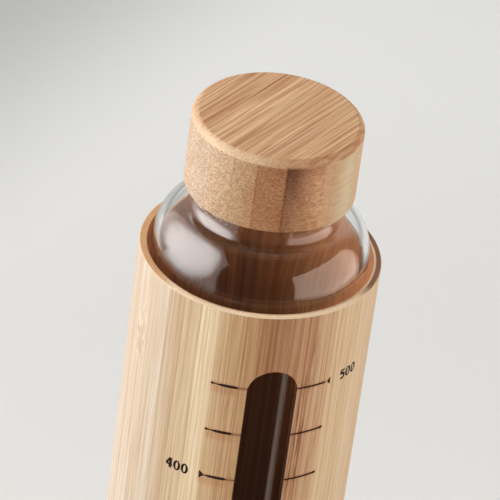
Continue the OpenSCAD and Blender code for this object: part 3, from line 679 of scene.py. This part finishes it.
cutters, marks = [], [[], [], [], []]
edge = math.degrees(math.asin(SLOT_W / 2 / SR)) - 0.4
for ml in range(100, 501, 50):
    z = level(ml)
    side = 0 if ml % 100 else (1 if (ml // 100) % 2 else -1)
    for sgn in (-1, 1):
        if sgn < 0:
            end = [(26.6, 0.15), (27.2, 0.12)] if side < 0 else [(26.6, 0.15), (28.1, 0.20), (28.5, 0.29), (29.1, 0.29), (29.4, 0.14)]
            prof_l = [(edge, 0.13), (13.4, 0.13), (15.9, 0.15), (16.7, 0.26), (17.4, 0.33), (21.0, 0.34), (24.4, 0.31), (25.4, 0.20)] + end
        else:
            end = [(26.6, 0.22), (27.4, 0.16)] if side > 0 else [(27.4, 0.23), (28.2, 0.32), (29.0, 0.32), (29.5, 0.15)]
            prof_l = [(edge, 0.17), (13.4, 0.18), (15.5, 0.20), (18.5, 0.21), (22.0, 0.22), (25.0, 0.22)] + end
        cutters.append(strip_cut(f"line_{ml}_{sgn}", [a * sgn for a, h in prof_l], [h * 1.5 for a, h in prof_l], z))
    if side:
        tip, foot = (28.3, 30.3) if side > 0 else (26.7, 29.3)
        marks[3].append(plate_cut(f"arrow_{ml}", [(side * foot, z - 1.5), (side * foot, z + 1.5), (side * (tip + 0.35), z + 0.22), (side * tip, z), (side * (tip + 0.35), z - 0.22)]))
        for i, ch in enumerate(str(ml)):
            for g_, c_ in digit(ch, f"digit_{ml}_{i}", (i - 1) * 2.66, 42.7 if side > 0 else -40.9, z, 3.65):
                marks[g_].append(c_)
groups = [join_cutters("lines", cutters)] + [join_cutters(f"marks{i}", g_) for i, g_ in enumerate(marks)]
bpy.context.view_layer.update()
boolean(sleeve, groups)
smooth(sleeve, 30)
sleeve.data.materials.clear()
sleeve.data.materials.append(M_SLEEVE)
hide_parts("sleeve_tube")
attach(sleeve, "sleeve")

# ---------------------------------------------------------------- glass bottle
A = GR - NR
def ell(t, off):
    t = math.radians(t)
    nx, nz = math.cos(t) / A, math.sin(t) / SHH
    m = math.hypot(nx, nz)
    return (NR + A * math.cos(t) + off * nx / m, SHZ + SHH * math.sin(t) + off * nz / m)

lo_t, hi_t = 5.0, 89.0
for _ in range(50):
    mid_t = (lo_t + hi_t) / 2
    if ell(mid_t, FIL)[0] > NR + FIL:
        lo_t = mid_t
    else:
        hi_t = mid_t
T_END = lo_t
FC = ell(T_END, FIL)
FP = ell(T_END, 0)
FA = math.degrees(math.atan2(FP[1] - FC[1], FP[0] - FC[0])) % 360

def shoulder(off, n=40):
    return [ell(T_END * i / n, -off) for i in range(n + 1)]

def neck_turn(off, n=14):
    return [(FC[0] + (FIL + off) * math.cos(math.radians(FA + (180 - FA) * i / n)),
             FC[1] + (FIL + off) * math.sin(math.radians(FA + (180 - FA) * i / n))) for i in range(1, n + 1)]

outer = ([(0, GZ0 + 1.2), (6, GZ0 + 1.15), (12, GZ0 + 1.0), (16, GZ0 + 0.78), (19, GZ0 + 0.5), (21.4, GZ0 + 0.16), (23, GZ0)]
         + arc(GR - 5, GZ0 + 5, 5, -90, 0, 16) + [(GR, 60), (GR, 120), (GR, 180)] + shoulder(0) + neck_turn(0)
         + [(NR, CAP_Z - 0.9), (NR - 0.05, CAP_Z - 0.4), (NR - 0.5, CAP_Z + 0.6), (ROOT + 0.3, CAP_Z + 1.5), (ROOT + 0.05, CAP_Z + 2.0), (ROOT, CAP_Z + 2.6)]
         + arc(ROOT - 1, LIP - 1, 1, 0, 90, 8))
inner = (arc(BORE + 1, LIP - 1, 1, 90, 180, 8)
         + [(BORE, CAP_Z + 2.4), (BORE + 0.08, CAP_Z + 1.5), (BORE + 0.5, CAP_Z + 0.2), (NR - GW - 0.12, CAP_Z - 1.2), (NR - GW, CAP_Z - 2.0)]
         + list(reversed(neck_turn(GW))) + list(reversed(shoulder(GW)))
         + [(GRI, 180), (GRI, 120), (GRI, 60)] + arc(GRI - 6, FLOOR_Z + 6, 6, 0, -90, 16)
         + [(22, FLOOR_Z + 0.12), (19, FLOOR_Z + 0.35), (12, FLOOR_Z + 0.7), (6, FLOOR_Z + 0.86), (0, FLOOR_Z + 0.9)])
bottle = lathe("glass_bottle_body", outer + inner, 256)
ridges = [ridge(f"ridge{a}", ROOT - 0.4, CREST, 1.45, 0.7, CAP_Z + 6.2, a, 240, LEAD, 80) for a in (0, 180)]
bpy.context.view_layer.update()
boolean(bottle, ridges, "UNION")
smooth(bottle, 40)
bottle.data.materials.clear()
bottle.data.materials.append(M_GLASS)
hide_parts("glass_bottle")
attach(bottle, "bottle")

# ---------------------------------------------------------------- silicone boot
BR, BT = SRI - 0.1, BASE_TOP + 30
g = 0.04
boot = lathe("silicone_boot", [(0, BASE_TOP), (BR - 1.5, BASE_TOP)] + arc(BR - 1.5, BASE_TOP + 1.5, 1.5, -80, 0, 8)
             + [(BR, 24)] + arc(BR - 0.5, BT - 0.5, 0.5, 0, 90, 5) + arc(GR + g + 0.25, BT - 0.25, 0.25, 90, 180, 3) + [(GR + g, 24)]
             + arc(GR - 5, GZ0 + 5, 5 + g, 0, -90, 14) + [(0, GZ0 - g)], 192)
smooth(boot, 35)
boot.data.materials.append(M_SIL)
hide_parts("bottle_boot")
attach(boot, "bottle")

# ---------------------------------------------------------------- cap
def bevel(r, z, c, brk, n):
    """Bulged chamfer of leg c between a side at radius r and a top at height z, with a crease of brk degrees at each end."""
    sweep = math.radians(90 - 2 * brk)
    rad = c * math.sqrt(2) / 2 / math.sin(sweep / 2)
    mx_, mz_ = r - c / 2 - rad * math.cos(sweep / 2) / math.sqrt(2), z - c / 2 - rad * math.cos(sweep / 2) / math.sqrt(2)
    return [(mx_ + rad * math.cos(math.radians(brk) + sweep * i / n), mz_ + rad * math.sin(math.radians(brk) + sweep * i / n)) for i in range(n + 1)]

cap = lathe("wooden_cap", [(INS_R + 0.02, CAP_Z), (CAP_R - 0.5, CAP_Z)] + arc(CAP_R - 0.5, CAP_Z + 0.5, 0.5, -75, 0, 4) + [(CAP_R, CAP_Z + 12)]
            + bevel(CAP_R, CAP_Z + CAP_H, CAP_E, 20, 12)
            + [(18, CAP_Z + CAP_H), (9, CAP_Z + CAP_H), (0, CAP_Z + CAP_H), (0, INS_TOP + 0.02), (INS_R + 0.02, INS_TOP + 0.02)], 256)
smooth(cap, 14)
cap.data.materials.append(M_CAP)
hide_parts("cap_shell")
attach(cap, "cap")

insert = lathe("cap_insert_plastic", [(INS_RI + 0.8, INS_Z0), (INS_R - 0.3, INS_Z0), (INS_R, INS_Z0 + 0.3), (INS_R, INS_TOP), (0, INS_TOP), (0, PLATE_Z), (13.8, PLATE_Z)]
               + [(13.8, PLATE_Z - 0.8), (14.0, PLATE_Z - 1.0), (15.0, PLATE_Z - 1.0), (15.2, PLATE_Z - 0.8), (15.2, PLATE_Z)]
               + [(INS_RI - 0.3, PLATE_Z), (INS_RI, PLATE_Z - 0.3), (INS_RI, INS_Z0 + 0.8)], 192)
ridges = [ridge(f"iridge{a}", INS_RI + 0.4, ROOT + 0.35, 1.3, 0.45, CAP_Z + 4.1, a, 210, LEAD, 70) for a in (0, 180)]
bpy.context.view_layer.update()
boolean(insert, ridges, "UNION")
smooth(insert, 35)
insert.data.materials.clear()
insert.data.materials.append(M_PP)
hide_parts("cap_insert")
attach(insert, "cap")

seal = lathe("sealing_ring", arc(15.8, SEAL_Z + 0.3, 0.3, 180, 270, 4)
             + [(17.2, SEAL_Z), (17.6, SEAL_Z + 0.12), (18.0, SEAL_Z)] + arc(INS_RI - 0.6, SEAL_Z + 0.35, 0.35, -90, 0, 4)
             + arc(INS_RI - 0.45, SEAL_Z + SEAL_T - 0.2, 0.2, 0, 90, 3) + arc(15.7, SEAL_Z + SEAL_T - 0.2, 0.2, 90, 180, 3), 192)
smooth(seal, 35)
seal.data.materials.append(M_SIL)
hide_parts("cap_seal")
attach(seal, "seal")

# ---------------------------------------------------------------- CAD nodes that stay
for node, mat in (("sleeve_base", M_BASE), ("foot_pad", M_PAD)):
    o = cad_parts[node]
    o.data.materials.clear()
    o.data.materials.append(mat)
    o.data.shade_smooth()
    o.data.set_sharp_from_angle(angle=math.radians(30))

# ---------------------------------------------------------------- stage, light and camera
def plane(name, size, z):
    bm = bmesh.new()
    s = size / 2
    vs = [bm.verts.new(p) for p in ((-s, -s, z), (s, -s, z), (s, s, z), (-s, s, z))]
    bm.faces.new(vs)
    me = bpy.data.meshes.new(name)
    bm.to_mesh(me)
    bm.free()
    return new_obj(name, me)

floor = plane("stage_floor", 24.0, -0.0001)
MF = Mat("stage_floor")
fx, fy, fz = MF.pos()
paper = MF.n("ShaderNodeBsdfDiffuse")
# painted shade: the sheet falls into soft shade towards the back left; painted light makes it lighter towards the back
away = MF.math("ADD", MF.math("MULTIPLY", fx, -0.758), MF.math("MULTIPLY", fy, 0.652))
sheet = MF.mix(MF.map_range(fy, 230.0, 470.0), (0.845, 0.843, 0.828), (0.925, 0.925, 0.907))
shade = MF.math("MULTIPLY", MF.map_range(away, 205.0, 330.0), MF.map_range(away, 340.0, 900.0, 1.0, 0.35))
MF.link(MF.mix(shade, sheet, (0.56, 0.57, 0.565)), paper.inputs["Color"])
# reflections see the floor only behind the bottle: in front of it and beside it they pass through to the dark studio and the softboxes
gone = MF.n("ShaderNodeBsdfTransparent")
flp = MF.n("ShaderNodeLightPath")
behind = MF.map_range(MF.math("SUBTRACT", fy, MF.math("MULTIPLY", MF.math("ABSOLUTE", fx), 0.55)), 20.0, 120.0)
f1, f2 = MF.n("ShaderNodeMixShader"), MF.n("ShaderNodeMixShader")
MF.link(behind, f1.inputs[0])
MF.link(gone.outputs[0], f1.inputs[1])
MF.link(paper.outputs[0], f1.inputs[2])
MF.link(MF.math("GREATER_THAN", flp.outputs["Glossy Depth"], 0.5), f2.inputs[0])
MF.link(paper.outputs[0], f2.inputs[1])
MF.link(f1.outputs[0], f2.inputs[2])
# seen directly, the sheet keeps one pale tone where the softboxes no longer reach
far = MF.n("ShaderNodeEmission")
far.inputs["Color"].default_value = (0.76, 0.76, 0.745, 1)
reach = MF.math("SQRT", MF.math("ADD", MF.math("MULTIPLY", fx, fx), MF.math("MULTIPLY", fy, fy)))
f3 = MF.n("ShaderNodeMixShader")
MF.link(MF.math("MULTIPLY", MF.map_range(reach, 560.0, 820.0), flp.outputs["Is Camera Ray"]), f3.inputs[0])
MF.link(f2.outputs[0], f3.inputs[1])
MF.link(far.outputs[0], f3.inputs[2])
MF.link(f3.outputs[0], MF.out.inputs[0])
floor.data.materials.append(MF.m)


def area(name, az, dist, w, h, radiance, centre, colour=(1, 1, 1), aim=None, face=None, profile=None):
    """Softbox of w by h metres that faces the bottle. radiance is what it sends per steradian."""
    li = bpy.data.lights.new(name, "AREA")
    li.shape, li.size, li.size_y = "RECTANGLE", w, h
    li.energy, li.color = radiance * math.pi * w * h, colour
    o = bpy.data.objects.new(name, li)
    scene.collection.objects.link(o)
    a = math.radians(az)
    o.location = (math.sin(a) * dist, -math.cos(a) * dist, centre)
    d = Vector(face) if face else (Vector(aim) - o.location if aim else Vector((0, 0, centre)) - o.location)
    o.rotation_euler = d.to_track_quat("-Z", "Y").to_euler()
    o.visible_camera = False
    if profile:
        li.use_nodes = True
        t = li.node_tree
        t.nodes.clear()
        geo = t.nodes.new("ShaderNodeNewGeometry")
        sep = t.nodes.new("ShaderNodeSeparateXYZ")
        t.links.new(geo.outputs["Parametric"], sep.inputs[0])
        def m(op, a_, b_=None, clamp=False):
            nd = t.nodes.new("ShaderNodeMath")
            nd.operation, nd.use_clamp = op, clamp
            for i, v in enumerate((a_, b_)):
                if v is None:
                    continue
                if isinstance(v, (int, float)):
                    nd.inputs[i].default_value = v
                else:
                    t.links.new(v, nd.inputs[i])
            return nd.outputs[0]
        em = t.nodes.new("ShaderNodeEmission")
        t.links.new(profile(m, sep.outputs[0], sep.outputs[1]), em.inputs["Strength"])
        out = t.nodes.new("ShaderNodeOutputLight")
        t.links.new(em.outputs[0], out.inputs[0])
    return o


# the left softbox: a plain one for the wood, and one that only shiny surfaces see, brighter in its middle
key = area("key_left", -101, 0.86, 1.75, 1.70, 2.12, 0.90, (1.0, 0.985, 0.965))
key.visible_glossy = key.visible_transmission = False
def key_glow(m, pu, pv):
    def side(v, mid, size, below, above):
        d = m("MULTIPLY", m("SUBTRACT", v, mid), size)
        k = m("ADD", m("MULTIPLY", m("LESS_THAN", d, 0.0), below - above), above)
        return m("MULTIPLY", m("MULTIPLY", d, d), k)
    q = m("ADD", side(pu, 0.383, 2.835, 1.05, 0.45), side(pv, 0.4875, 4.0, 0.56, 0.26))
    return m("MAXIMUM", m("SUBTRACT", 1.0, q), 0.12)
# it stands askew: 1.2 m away at its back edge and 2.4 m at its front edge
shine = area("shine_left", -82.57, 1.281, 2.835, 4.0, 8.8, 0.90, (1.0, 0.985, 0.975), face=(0.871, -0.491, 0.0), profile=key_glow)
shine.visible_diffuse = False

fill = area("fill_right", 65, 0.90, 1.50, 1.18, 1.9, 0.36, (1.0, 0.99, 0.975))
fill.visible_glossy = fill.visible_transmission = False
warm = area("shine_right", 65, 0.88, 1.47, 1.16, 2.05, 0.357, (1.0, 0.90, 0.80))
warm.visible_diffuse = False
strip = area("shine_strip", 31, 0.90, 0.13, 0.42, 1.35, -0.47, (1.0, 0.81, 0.67),
             profile=lambda m, pu, pv: m("MAXIMUM", m("SUBTRACT", 1.0, m("MULTIPLY", m("MULTIPLY", m("SUBTRACT", pu, 0.5), m("SUBTRACT", pu, 0.5)), 4.0)), 0.0))
strip.visible_diffuse = False
top = area("top_back", 170, 1.2, 1.6, 1.2, 1.25, 1.9, aim=(0.05, 0.35, 0.0))

world = bpy.data.worlds.new("studio")
scene.world = world
world.use_nodes = True
wt = world.node_tree
wt.nodes.clear()
wo = wt.nodes.new("ShaderNodeOutputWorld")

def wmath(op, a_, b_):
    nd = wt.nodes.new("ShaderNodeMath")
    nd.operation = op
    for i, v in enumerate((a_, b_)):
        if isinstance(v, (int, float)):
            nd.inputs[i].default_value = v
        else:
            wt.links.new(v, nd.inputs[i])
    return nd.outputs[0]

def wbg(colour, strength):
    nd = wt.nodes.new("ShaderNodeBackground")
    nd.inputs[0].default_value, nd.inputs[1].default_value = (*colour, 1), strength
    return nd.outputs[0]

def wmix(f, a_, b_):
    nd = wt.nodes.new("ShaderNodeMixShader")
    wt.links.new(f, nd.inputs[0])
    wt.links.new(a_, nd.inputs[1])
    wt.links.new(b_, nd.inputs[2])
    return nd.outputs[0]

lp = wt.nodes.new("ShaderNodeLightPath")
direct = wmath("MULTIPLY", wmath("MAXIMUM", lp.outputs["Is Camera Ray"], lp.outputs["Is Transmission Ray"]), wmath("LESS_THAN", lp.outputs["Glossy Depth"], 0.5))
mirrored = wmath("GREATER_THAN", lp.outputs["Glossy Depth"], 0.5)
wtc = wt.nodes.new("ShaderNodeTexCoord")
wsep = wt.nodes.new("ShaderNodeSeparateXYZ")
wt.links.new(wtc.outputs["Generated"], wsep.inputs[0])
wback = wt.nodes.new("ShaderNodeMapRange")
wback.inputs["From Min"].default_value, wback.inputs["From Max"].default_value = 0.0, 0.25
wt.links.new(wmath("SUBTRACT", wsep.outputs[1], wmath("MULTIPLY", wmath("ABSOLUTE", wsep.outputs[0], 0.0), 0.55)), wback.inputs["Value"])
ambient = wbg((0.80, 0.80, 0.80), 0.22)
pale = wbg((0.76, 0.76, 0.745), 1.0)
wt.links.new(wmix(direct, wmix(mirrored, ambient, wmix(wback.outputs[0], wbg((0.80, 0.80, 0.80), 0.02), pale)), pale), wo.inputs[0])

# camera: 33 degrees above the horizon, 15 degrees to the left of the slot, rolled 8 degrees
def build_camera():
    el, az, roll, f, dist = math.radians(33.45), math.radians(15.0), math.radians(7.987), 4250.257, 1.2718
    rim = Vector((0, 0, SH * MM))
    back = Vector((-math.sin(az) * math.cos(el), -math.cos(az) * math.cos(el), math.sin(el)))
    loc = rim + back * dist
    fwd = -back
    right = Vector((math.cos(az), -math.sin(az), 0))
    up = right.cross(fwd)
    r2 = right * math.cos(roll) + up * math.sin(roll)
    u2 = up * math.cos(roll) - right * math.sin(roll)
    f2 = (fwd - r2 * (10.553 / f) - u2 * (1.428 / f)).normalized()
    r3 = (r2 - f2 * r2.dot(f2)).normalized()
    u3 = r3.cross(f2)
    cam = bpy.data.cameras.new("camera")
    cam.sensor_fit, cam.sensor_width = "HORIZONTAL", 36.0
    cam.lens = f / 500 * 36.0
    cam.clip_start, cam.clip_end = 0.05, 60
    o = bpy.data.objects.new("camera", cam)
    scene.collection.objects.link(o)
    m = Matrix((r3, u3, -f2)).transposed().to_4x4()
    m.translation = loc
    o.matrix_world = m
    scene.camera = o

build_camera()
